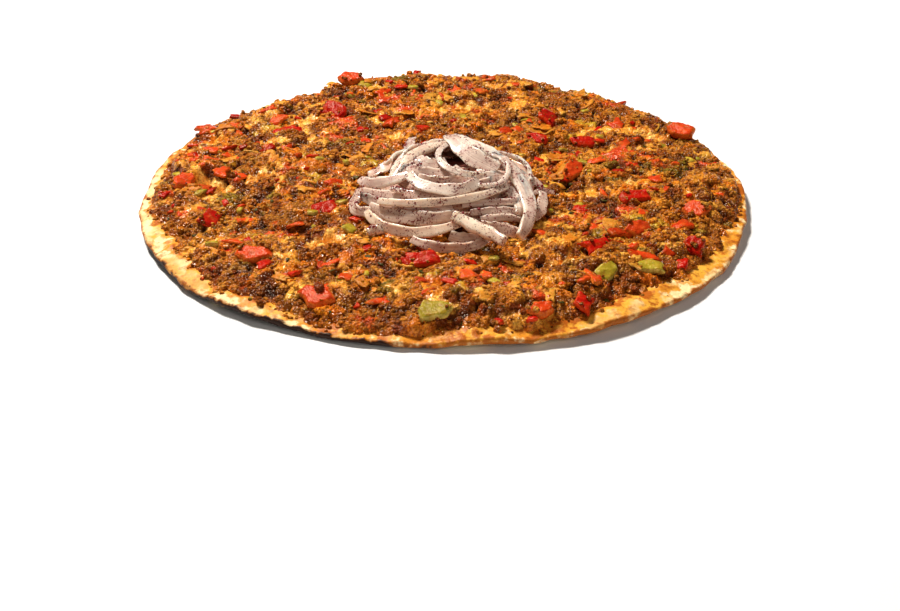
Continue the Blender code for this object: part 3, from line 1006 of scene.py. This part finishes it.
def make_all_crumbs(material, chunks):
    lumps = [ball(4, 48, 0.38, 30 + k) for k in range(5)]
    clumps = [ball(3, 26, 0.34, 40 + k) for k in range(8)]
    grains = [ball(2, 7, 0.35, 50 + k) for k in range(10)]
    motes = [ball(1, 4, 0.3, 60 + k) for k in range(6)]
    for name, spots, sizes, shapes, seed, sink in (
        ("mince_lumps", dry_spots(38, 39, 12), (2.6, 4.0), lumps, 39, (-0.6, -0.3)),
        ("mince_clumps", dry_spots(370, 41, 2.5), (1.7, 3.0), clumps, 41, (-0.45, -0.1)),
        ("mince_crumbs", dry_spots(1400, 43), (0.9, 1.7), grains, 43, (-0.25, 0.25)),
        ("mince_grains", dry_spots(1700, 45), (0.5, 0.9), motes, 45, (0.0, 0.5)),
        ("edge_crumbs", edge_spots(640, 47), (1.1, 2.6), grains, 47, (-0.4, 0.1)),
        ("crumbs_round_chunks", spots_round_chunks(16, 49), (0.7, 1.5), grains, 49, (-0.2, 0.3)),
    ):
        make_crumbs(name, spots, sizes, shapes, material, chunks, seed, sink)


# ---- vegetables in the mince ----

# Each kind's skin, flesh, roughness, share of light that goes in, and stain by the mince.
VEGETABLES = {
    "red pepper": ((196, 22, 10), (218, 62, 20), 0.16, 0.1, 0.5),
    "tomato": ((220, 66, 20), (236, 112, 38), 0.15, 0.2, 0.75),
    "green pepper": ((184, 160, 44), (222, 198, 96), 0.18, 0.2, 0.5),
    "cooked onion": ((232, 154, 48), (244, 184, 84), 0.24, 0.3, 0.5),
    "herb": ((60, 64, 22), (86, 88, 34), 0.4, 0.0, 0.3),
}
CHUNK_KINDS = ("red_pepper", "tomato", "green_pepper")
# Tints of the smaller bits.
PLAIN = ((1, 1, 1),)
MIXED = ((1, 1, 1), (0.80, 0.66, 0.55), (1.0, 1.25, 1.2))
GOLDEN = ((0.9, 0.85, 0.8), (0.8, 0.62, 0.4), (0.95, 1.0, 1.1))


def make_bits(name, seed, count, long, ratio, thick, bend, material, slot, tints, sink,
              squareness=6, ragged=0.06, inside=2.0, left=0.0, cuts=3, tilt=0.45):
    """Small cut pieces lying in the mince, with more near its left edge if left is over 0.
    long, thick and inside are in mm, and sink is the middle's height by half thickness."""
    random = np.random.default_rng(seed)
    x, y = spots_in_mince(random, count * 4, inside)
    at_left = swell(np.arctan2(y, x), 184, 34) * smoothstep(80 * MM, 110 * MM, np.hypot(x, y))
    clear = np.hypot(x - HEAP_X, y - HEAP_Y) > HEAP_CLEARS
    x, y = thinned(random, x, y, 0.4 + left * at_left, clear, count)
    count = len(x)
    points, faces = block(cuts, squareness)
    half_long = random.uniform(*long, count) * MM / 2
    half_wide = half_long * random.uniform(*ratio, count)
    half_thick = random.uniform(*thick, count) * MM / 2
    copies = np.tile(points, (count, 1, 1))
    copies = copies * (1 + 0.07 * random.standard_normal(copies.shape))
    direction = np.arctan2(copies[:, :, 1], copies[:, :, 0])
    for waves in (2, 3, 5):
        phase = random.uniform(0, TAU, count)[:, None]
        swing = ragged * random.uniform(0, 1, count)[:, None]
        copies[:, :, :2] *= 1 + (swing * np.sin(waves * direction + phase))[..., None]
    copies[:, :, 1] *= 1 + 0.35 * random.uniform(-1, 1, count)[:, None] * copies[:, :, 0]
    cut = np.where(np.abs(copies[:, :, 2]) < 0.7, 1.0, 0.0)
    copies = copies * xyz(half_long, half_wide, half_thick)[:, None, :]
    bend = random.uniform(*bend, count) / half_long * 0.5
    copies[:, :, 2] -= bend[:, None] * copies[:, :, 0] ** 2
    turns = random_turns(random, count, tilt)
    places = xyz(x, y, raster_at(BED, x, y) + half_thick * sink)
    points, faces = placed(copies, faces, turns, places)
    tint = np.array(tints)[random.integers(0, len(tints), count)]
    tint = tint * random.uniform(0.8, 1.15, count)[:, None]
    tint = tint[:, None] * stained_below(points[:, 2].reshape(count, -1))
    new_piece(name, points, faces, material, slot, tint.reshape(-1, 3), cut=cut.ravel())


def stained_below(heights):
    """A tint by point that darkens a piece towards its foot, where the mince soaks it."""
    up = (heights - heights.min(axis=-1, keepdims=True)) / np.ptp(heights, axis=-1, keepdims=True)
    return blend(1, np.array((0.62, 0.40, 0.28)), smoothstep(0.65, 0.0, up)[..., None])


def refined_node(node, seed):
    """The solid's own shape, rounded and made uneven: its points, faces and cut mask."""
    shape = bmesh.new()
    shape.from_mesh(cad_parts[node].data)
    bmesh.ops.remove_doubles(shape, verts=shape.verts[:], dist=0.01 * MM)
    limits = {"angle_face_threshold": 0.6, "angle_shape_threshold": 0.9}
    bmesh.ops.join_triangles(shape, faces=shape.faces[:], **limits)
    crease = shape.edges.layers.float.new("crease_edge")
    for edge in shape.edges:
        edge[crease] = 0.65 if edge.calc_face_angle(0) > 0.5 else 0.0
    source = bpy.data.meshes.new("source")
    shape.to_mesh(source)
    shape.free()
    holder = bpy.data.objects.new("holder", source)
    bpy.context.scene.collection.objects.link(holder)
    rounding = holder.modifiers.new("rounding", "SUBSURF")
    rounding.levels = rounding.render_levels = 2
    evaluated = holder.evaluated_get(bpy.context.evaluated_depsgraph_get())
    mesh = bpy.data.meshes.new_from_object(evaluated)
    points, faces = mesh_parts(mesh)
    normals = np.array([v.normal for v in mesh.vertices])
    bpy.data.objects.remove(holder)
    bpy.data.meshes.remove(mesh)
    bpy.data.meshes.remove(source)

    middle = points.mean(axis=0)
    points = middle + (points - middle) * 1.05
    flat_axis = np.linalg.svd(points - middle, full_matrices=False)[2][2]
    phases = 9 * np.random.default_rng(seed).uniform(0, 1, 3)
    ways = np.array(((0.8, 0.5, 0.3), (-0.4, 0.9, 0.2), (1.3, -0.9, 0.8)))
    wave = np.sin(points @ ways.T * TAU / (4.2 * MM) + phases).sum(axis=1)
    points = points + normals * (0.11 * MM * wave)[:, None]
    return points, faces, smoothstep(0.85, 0.5, np.abs(normals @ flat_axis))


def make_chunks(kind, material):
    """The larger pieces of one kind, each in the place of its own solid."""
    nodes = sorted(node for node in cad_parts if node.startswith(kind))
    random = np.random.default_rng(len(nodes))
    parts = [refined_node(node, seed) for seed, node in enumerate(nodes)]
    points, faces = joined(part[:2] for part in parts)
    cut = np.concatenate([part[2] for part in parts])
    tints = [stained_below(part[0][:, 2]) * random.uniform(0.78, 1.0) for part in parts]
    tints = np.concatenate(tints)
    piece = new_piece(kind + "_pieces", points, faces, material, kind, tints, cut=cut)
    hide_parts(*nodes)
    return piece


def swept(line, side, up, across, lift):
    """Rings of points along a line, each point so far to its side and so far up."""
    return line[:, None] + across[..., None] * side[:, None] + lift[..., None] * up[:, None]


def make_fibres(material, count=320, steps=9, sides=4):
    """Fine dried shreds that curl over the mince."""
    random = np.random.default_rng(71)
    faces = tube_faces(steps, sides)
    up = xyz(0, 0, np.ones(steps))
    tubes = []
    for x, y in zip(*spots_in_mince(random, count, 5)):
        length = random.uniform(3, 9) * MM
        curl = random.uniform(-1.8, 1.8) / length
        along = np.linspace(0, length, steps)
        turn = random.uniform(0, TAU) + curl * along
        x = x + np.cumsum(np.cos(turn)) * length / steps
        y = y + np.cumsum(np.sin(turn)) * length / steps
        bed = raster_at(BED, x, y)
        z = np.maximum(moving_mean(bed, 2), bed - 0.2 * MM) + 0.35 * MM
        thick = random.uniform(0.12, 0.26) * MM * (1 - 0.6 * np.abs(along / length * 2 - 1) ** 3)
        side = xyz(-np.sin(turn), np.cos(turn), 0)
        across, lift = polar(thick[:, None], -np.arange(sides) * TAU / sides)
        tube = swept(xyz(x, y, z), side, up, across, lift)
        tubes.append((tube.reshape(-1, 3), faces))
    points, faces = joined(tubes)
    new_piece("shreds", points, faces, material, "sliced_onion", np.ones(points.shape))


def moving_mean(values, reach):
    """Each value's mean with those up to so many steps before and after it."""
    window = np.ones(2 * reach + 1) / (2 * reach + 1)
    return np.convolve(np.pad(values, reach, mode="edge"), window, "valid")


def make_all_bits(materials):
    red, tomato, green, soft, herb = materials.values()
    make_bits("red_pepper_bits", 61, 75, (2.5, 8), (0.35, 0.8), (0.9, 1.7), (0.0, 0.4), red,
              "red_pepper", MIXED, 0.4, squareness=10, ragged=0.2, left=0.4)
    make_bits("tomato_bits", 62, 125, (3, 10), (0.45, 0.9), (0.9, 2.1), (0.0, 0.5), tomato,
              "tomato", MIXED, 0.05, ragged=0.3, left=0.7)
    make_bits("green_pepper_bits", 63, 45, (3, 7), (0.4, 0.9), (1.2, 2.2), (0, 0.5), green,
              "green_pepper", PLAIN, 0.1)
    make_bits("cooked_onion", 64, 170, (3.5, 10), (0.35, 0.8), (0.5, 1.0), (-0.4, 0.7), soft,
              "sliced_onion", GOLDEN, -0.2, ragged=0.34, inside=8.0, tilt=0.35)
    make_bits("herb_flecks", 65, 130, (1.2, 3.4), (0.5, 0.9), (0.2, 0.35), (0, 1.5), herb,
              "green_pepper", PLAIN, 1.0, squareness=7, ragged=0.15, cuts=2, tilt=0.5)
    make_fibres(soft)


# ---- the onions ----

# The strips that show, as arcs of onion rings, in mm and degrees. Each: middle x and y, radius,
# the directions it runs from and to, its height over the mince at its start, middle and end,
# width, thickness, how far its face leans to the front, and its tone. The arcs and heights, in
# all rows but the 17th, are a separate program's: circles through three places that were picked
# by eye on each strip in the photo. The other values were chosen one by one.
STRIPS = (
    (36.1, -70.5, 69.4, 149, 119, 15.5, 20.9, 20.4, 5.4, 2.4, 0.4, 1),
    (-25.1, -77.5, 75.1, 66, 47, 22.9, 21.4, 17.4, 5.0, 2.0, 0.7, 2),
    (41.9, -0.0, 40.6, -166, -118, 24.4, 23.3, 19.4, 8.5, 1.5, 0.9, 0),
    (11.6, -29.2, 14.5, -222, -65, 23.9, 22.3, 20.4, 2.8, 2.6, 0.5, 2),
    (28.1, 8.9, 45.0, -193, -161, 10.4, 11.7, 13.4, 5.4, 1.5, 1.3, 0),
    (-35.1, 1.3, 11.0, -2, -92, 8.4, 7.5, 4.4, 6.2, 1.3, 0.7, 0),
    (-21.1, -21.5, 17.2, -174, -72, 8.7, 13.1, 18.5, 5.2, 2.2, 0.5, 0),
    (1.1, -34.5, 17.0, -162, -38, 19.2, 17.2, 18.5, 5.6, 2.4, 0.2, 2),
    (17.3, 12.2, 70.8, -125, -119, 15.0, 15.5, 15.8, 2.2, 2.4, 0.2, 2),
    (-3.2, -25.7, 12.5, -167, -40, 18.5, 18.3, 19.4, 5.6, 1.6, 0.6, 0),
    (-3.8, -22.9, 7.9, -173, -56, 20.0, 19.9, 20.5, 5.6, 1.6, 0.6, 0),
    (-4.1, -16.9, 40.5, -127, -40, 10.8, 14.5, 14.5, 3.8, 3.2, 0.1, 1),
    (-5.6, -11.3, 38.6, -144, -46, 7.7, 14.0, 15.8, 5.4, 1.5, 1.0, 0),
    (-26.8, -38.2, 13.5, -212, -116, 7.5, 4.1, 6.4, 5.0, 2.2, 0.3, 0),
    (-7.4, -40.2, 28.1, -159, -60, 5.8, 5.0, 7.9, 4.8, 3.4, 0.2, 1),
    (-3.8, -26.0, 34.9, -146, -76, 6.0, 7.6, 9.3, 6.5, 1.6, 1.3, 0),
    (-49.9, 44.2, 108.0, -81, -77, 2.5, 3.3, 3.2, 4.4, 3.2, 0.3, 1),
    (2.5, -54.1, 23.0, -134, -48, 3.5, 2.6, 3.1, 4.6, 2.2, 0.5, 0),
    (8.5, -52.1, 17.7, -110, -60, 4.3, 2.7, 3.0, 6.0, 1.5, 1.3, 0),
    (-25.6, -130.9, 71.7, 66, 45, 12.0, 9.0, 7.6, 5.8, 4.0, 0.15, 1),
    (-13.8, 37.9, 96.2, -77, -60, 12.2, 11.4, 8.6, 3.4, 2.2, 0.6, 0),
    (-14.1, 43.5, 105.2, -76, -63, 10.1, 9.0, 6.3, 3.4, 2.2, 0.6, 0),
    (85.2, -250.8, 202.5, 110, 105, 7.7, 7.2, 4.8, 3.4, 2.2, 0.6, 0),
    (26.2, -119.1, 55.7, 101, 84, 6.5, 4.5, 2.6, 6.0, 1.5, 1.3, 0),
    (0.9, -51.8, 35.8, 46, -28, 20.4, 10.3, 3.6, 6.4, 2.6, 0.3, 0),
    (8.1, -44.8, 29.0, 62, -10, 19.4, 15.2, 7.8, 5.0, 2.0, 0.3, 0),
    (30.3, -19.7, 9.6, 137, -5, 17.4, 13.1, 7.4, 2.2, 2.2, 0.3, 2),
    (34.8, -32.1, 13.9, 86, 46, 7.4, 6.5, 3.4, 4.2, 2.0, 0.6, 0),
    (49.0, -35.4, 11.8, 151, 85, 4.4, 3.6, 2.4, 2.2, 1.0, 0.6, 0),
    (16.1, -34.6, 28.1, 9, -37, 5.8, 4.0, 4.0, 5.2, 1.2, 0.7, 0),
    (14.4, -34.1, 13.9, 21, -88, 19.9, 17.2, 17.8, 2.6, 2.2, 0.5, 2),
    (19.3, -50.5, 13.0, 65, -15, 14.6, 10.1, 6.6, 5.0, 2.0, 0.5, 0),
    (-6.1, -22.6, 34.2, -117, -74, 7.7, 9.2, 10.5, 6.0, 1.6, 1.5, 0),
    (-0.1, -14.1, 42.2, -153, -120, 5.6, 7.6, 9.1, 5.0, 1.6, 1.3, 0),
    (19.4, -32.2, 6.6, -149, -5, 18.2, 17.1, 16.9, 6.0, 1.6, 1.2, 0),
    (0.5, -23.0, 19.9, -127, -63, 17.2, 17.0, 17.6, 5.0, 1.6, 1.5, 0),
    (171.1, -252.7, 290.2, 132, 129, 14.6, 17.0, 19.3, 4.6, 1.6, 0.6, 0),
)
# By tone: a colour that multiplies the onion's, and the share of it that is opaque cut flesh.
STRIP_TONES = (
    ((1.02, 0.97, 0.93), 0.0),
    ((1.00, 0.94, 0.85), 0.6),
    ((1.00, 0.97, 0.95), 0.7),
    # tone 3 is painted shade: darker, for the strips inside the heap
    ((0.92, 0.81, 0.74), 0.0),
)
FILLER_STRIPS = 34
BACK_STRIPS = 20
STRIP_AROUND = 18  # points round a strip
STRIP_PIVOT = np.array((HEAP_X, HEAP_Y + 12 * MM, HEAP_BASE - 35 * MM))
HEAP_TOP = HEAP_HIGH.z + 0.6 * MM


def strip_mesh(line, width, thickness, lean, seed):
    """A closed strip swept along a line: flat faces, cupped across, cut blunt at its ends. Its
    face looks away from the middle of the heap, and more to the front the larger lean is.
    Gives its points, its marks (along, across, number) and where it is a cut face."""
    random = np.random.default_rng(seed)
    ahead = unit(np.gradient(line, axis=0))
    outward = unit(line - STRIP_PIVOT)
    side = unit(np.cross(ahead, outward + lean * np.array((0, -1, 0.2))))
    share = np.linspace(0, 1, len(line))
    sway = np.radians(16 * np.sin(TAU * (share * random.uniform(0.5, 1.3) + random.uniform())))
    side, up = turned(side, np.cross(side, ahead), sway[:, None])
    u, v = (np.sign(w) * np.abs(w) ** 0.42
            for w in polar(1, np.arange(STRIP_AROUND) * TAU / STRIP_AROUND))
    cup = random.uniform(-0.4, 0.7)
    taper = 0.70 + 0.30 * np.sin(math.pi * np.clip(share, 0.02, 0.98)) ** 0.6
    wide = width / 2 * taper * (1 + 0.08 * np.sin(TAU * (share * 3.3 + random.uniform())))
    high = thickness / 2 * (0.8 + 0.2 * taper)
    across = wide[:, None] * u
    lift = high[:, None] * (v * (1 - 0.2 * u**4) + cup * (u**2 - 0.4))
    points = swept(line, side, up, across, lift)
    first = line[0] + (points[0] - line[0]) * 0.82 - ahead[0] * 0.22 * MM
    last = line[-1] + (points[-1] - line[-1]) * 0.82 + ahead[-1] * 0.22 * MM
    points = np.concatenate([first[None], points, last[None]])
    length = np.concatenate([[0], np.cumsum(np.linalg.norm(np.diff(line, axis=0), axis=1))])
    across = np.pad(across, ((1, 1), (0, 0)), mode="edge")
    length = np.pad(length, 1, mode="edge")[:, None] + np.zeros(across.shape)
    marks = np.stack([length, across, np.full(across.shape, seed * 0.013)], axis=2)
    cut = np.tile(smoothstep(0.45, 1.0, np.abs(u)), (len(points), 1))
    cut[[0, -1]] = 1.0
    return points.reshape(-1, 3), marks.reshape(-1, 3), cut.ravel()


def arc_line(x, y, radius, start, end, heights, wave=0.0, steps=30):
    """Points along a ring's arc, whose height passes through three values."""
    share = np.linspace(0, 1, steps)
    low, middle, high = heights
    lift = low + (high - low) * share + (middle - (low + high) / 2) * 4 * share * (1 - share)
    out = radius + wave * np.sin(TAU * (1.4 * share + wave))
    across, along = polar(out, np.radians(start + (end - start) * share))
    return xyz(x + across, y + along, lift) * MM


def shown_strips(random):
    """The strips of the table. Each strip: line, width, thickness, lean and tone."""
    for x, y, radius, start, end, *heights, width, thickness, lean, tone in STRIPS:
        line = arc_line(x, y, radius, start, end, heights, random.uniform(-0.5, 0.5), 44)
        line[:, 2] += HEAP_BASE
        yield line, width * MM, 0.9 * thickness * MM, lean, tone


def filler_strips(random):
    """Strips in shade inside the heap."""
    for _ in range(FILLER_STRIPS):
        level = random.uniform(0, 1)
        away = random.uniform(0, 8)
        x, y = polar(away, random.uniform(0, TAU))
        radius = random.uniform(28, 35) - 18 * level
        start = random.uniform(0, 360)
        end = start - random.uniform(80, 200)
        middle = 2.0 + 14.5 * level
        low, high = middle + random.uniform(-1.5, 1.5, 2)
        x, y = HEAP_X / MM + x, HEAP_Y / MM + 8 * level + y
        line = arc_line(x, y, radius, start, end, (low, middle, high))
        line[:, 2] += HEAP_BASE
        size = random.uniform(4.0, 6.5) * MM, random.uniform(1.2, 2.0) * MM
        yield line, *size, random.uniform(-0.3, 1.5), 3


def back_strips():
    """Strips that lie over the far side of the heap, along its solid."""
    random = np.random.default_rng(85)
    solid = tree_of(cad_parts["onion_heap"].data)
    for _ in range(BACK_STRIPS):
        x, y = HEAP_X / MM + random.uniform(-6, 6), HEAP_Y / MM + random.uniform(0, 9)
        start = random.uniform(5, 85)
        end = min(start + random.uniform(55, 110), 172)
        line = arc_line(x, y, random.uniform(14, 40), start, end, (0, 0, 0))
        x, y, _ = line.T
        lie = np.nan_to_num(cast(solid, x, y)) - random.uniform(4.8, 6.6) * MM
        line[:, 2] = moving_mean(np.maximum(lie, raster_at(BED, x, y) + 1.1 * MM), 4)
        size = random.uniform(3.8, 6.0) * MM, random.uniform(1.3, 2.1) * MM
        yield line, *size, random.uniform(-0.8, 0.2), int(random.integers(0, 3))


def make_onions():
    random = np.random.default_rng(81)
    strips = [*shown_strips(random), *filler_strips(random), *back_strips()]
    parts, masks = [], []
    for seed, (*shape, tone) in enumerate(strips):
        points, marks, cut = strip_mesh(*shape, seed)
        colour, opaque = STRIP_TONES[tone]
        parts.append((points, tube_faces(len(points) // STRIP_AROUND, STRIP_AROUND)))
        cut = np.maximum(cut * random.uniform(0.7, 1.0), opaque)
        tint = np.tile(np.array(colour) * random.uniform(0.93, 1.05), (len(points), 1))
        masks.append((marks, cut, tint))
    points, faces = joined(parts)
    marks, cut, tints = (np.concatenate(mask) for mask in zip(*masks))
    points[:, 2] = np.minimum(points[:, 2], HEAP_TOP)
    # painted shade: strips darker where other strips lie over them, and darker low in the heap
    painted_shade_under_strips = shade_from_above(points, faces)[:, None]
    painted_shade_low_in_heap = smoothstep(14 * MM, 3 * MM, points[:, 2] - HEAP_BASE)[:, None]
    tints = tints * blend(1, np.array((0.86, 0.75, 0.69)), painted_shade_under_strips)
    tints = tints * blend(1, np.array((0.94, 0.88, 0.82)), painted_shade_low_in_heap)
    piece = new_piece("onion_strips", points, faces, onion_material(), "sliced_onion", tints,
                      strip=marks, cut=cut)
    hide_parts("onion_heap")
    make_heap_core()
    make_sumac(piece)


def shade_from_above(points, faces):
    """For each point of the strips, the share of a few upward directions that others block."""
    tree = BVHTree.FromPolygons(points.tolist(), faces)
    blocked = np.zeros(len(points))
    directions = [Vector(d) for d in ((0, 0, 1), (-0.6, 0.3, 1), (0.5, 0.5, 1), (0, -0.8, 1))]
    for i, point in enumerate(points.tolist()):
        for direction in directions:
            start = Vector(point) + direction * 0.9 * MM
            blocked[i] += tree.ray_cast(start, direction, 30 * MM)[0] is not None
    return blocked / len(directions)


def make_heap_core():
    """What lies out of sight under the strips: a smaller mound, painted the dark colour of the
    onions' shade.
    """
    shape, faces = ball(4, 60, 0.16, 5)
    size = np.array((30 * MM, 31 * MM, 13.5 * MM))
    points = shape * size + (HEAP_X, HEAP_Y + 4 * MM, HEAP_BASE + 0.5 * MM)
    points[:, 2] = np.maximum(points[:, 2], HEAP_BASE - 4 * MM)
    material = speck_material("onion shade", (120, 62, 50))
    new_piece("onion_core", points, faces, material, "sliced_onion")


def make_sumac(strips, count=2200, clusters=34, seed=91):
    """Flakes of ground sumac where they fall on the strips, many of them in clusters."""
    random = np.random.default_rng(seed)
    mesh = strips.data
    points, _ = mesh_parts(mesh)
    normals = np.array([v.normal for v in mesh.vertices])
    tree = tree_of(mesh)
    facing_up = np.nonzero(normals[:, 2] > 0.05)[0]
    lit = [i for i in facing_up if open_above(tree, points[i], normals[i])]
    points, normals = points[lit], normals[lit]
    middles = points[random.choice(len(points), clusters)]
    nearest = np.linalg.norm(points[:, None] - middles[None], axis=2).min(axis=1)
    weight = 0.22 + np.exp(-((nearest / (3.2 * MM)) ** 2))
    chosen = random.choice(len(points), count, p=weight / weight.sum())
    shapes = [ball(1, 4, 0.5, seed + k) for k in range(3)]
    half = random.uniform(0.17, 0.50, count) * MM
    half[: count // 12] *= 1.9
    scale = half[:, None] * random.uniform(0.5, 1.3, (count, 3))
    drift = random.uniform(-0.6, 0.6, (count, 3)) * MM
    up = normals[chosen]
    places = points[chosen] + drift - up * (drift * up).sum(axis=1)[:, None]
    flakes, faces = scatter(random, shapes, scale, places)
    material = speck_material("sumac", (134, 32, 38))
    new_piece("sumac_flakes", flakes, faces, material, "sliced_onion")


def open_above(tree, point, normal):
    """Whether nothing of the tree lies over a point on its surface."""
    start = Vector(point + normal * 0.3 * MM)
    return tree.ray_cast(start, Vector((0.05, -0.15, 1)))[0] is None


# ---- put together ----


def make_light(name, place, size, power, colour, glossy):
    light = bpy.data.lights.new(name, "AREA")
    light.shape = "DISK"
    light.size = size
    light.energy = power
    light.color = colour
    lamp = bpy.data.objects.new(name, light)
    lamp.location = place
    lamp.visible_glossy = glossy
    lamp.rotation_euler = (-Vector(place)).to_track_quat("-Z", "Y").to_euler()
    bpy.context.scene.collection.objects.link(lamp)


def make_studio():
    scene = bpy.context.scene
    camera = bpy.data.objects.new("camera", bpy.data.cameras.new("camera"))
    camera.data.lens = CAMERA_LENS
    camera.data.sensor_width = CAMERA_SENSOR
    camera.data.clip_start = 0.01
    camera.location = CAMERA_PLACE
    camera.rotation_euler = (math.pi / 2 - CAMERA_PITCH, 0, 0)
    scene.collection.objects.link(camera)
    scene.camera = camera

    for name, light in LIGHTS.items():
        make_light(name, *light)
    world = bpy.data.worlds.new("studio")
    world.use_nodes = True
    sky = world.node_tree.nodes["Background"].inputs
    sky["Color"].default_value = (1, 1, 1, 1)
    sky["Strength"].default_value = SKY
    scene.world = world
    scene.view_settings.view_transform = "Standard"

    mesh = bpy.data.meshes.new("floor")
    corners = [(x * FLOOR_HALF, y * FLOOR_HALF, 0) for x, y in ((-1, -1), (1, -1), (1, 1), (-1, 1))]
    mesh.from_pydata(corners, [], [(0, 1, 2, 3)])
    floor = bpy.data.objects.new("floor", mesh)
    white = (0.90, 0.90, 0.90, 1)
    mesh.materials.append(Nodes("floor").finish(white, Roughness=0.9, Specular_IOR_Level=0.1))
    scene.collection.objects.link(floor)


def main():
    make_studio()
    make_bread()
    mince = mince_material()
    make_mince_bed(mince)
    materials = {kind: vegetable_material(kind, *look) for kind, look in VEGETABLES.items()}
    chunks = [make_chunks(kind, materials[kind.replace("_", " ")]) for kind in CHUNK_KINDS]
    make_all_crumbs(mince, tree_of(*(piece.data for piece in chunks)))
    make_all_bits(materials)
    make_onions()


main()
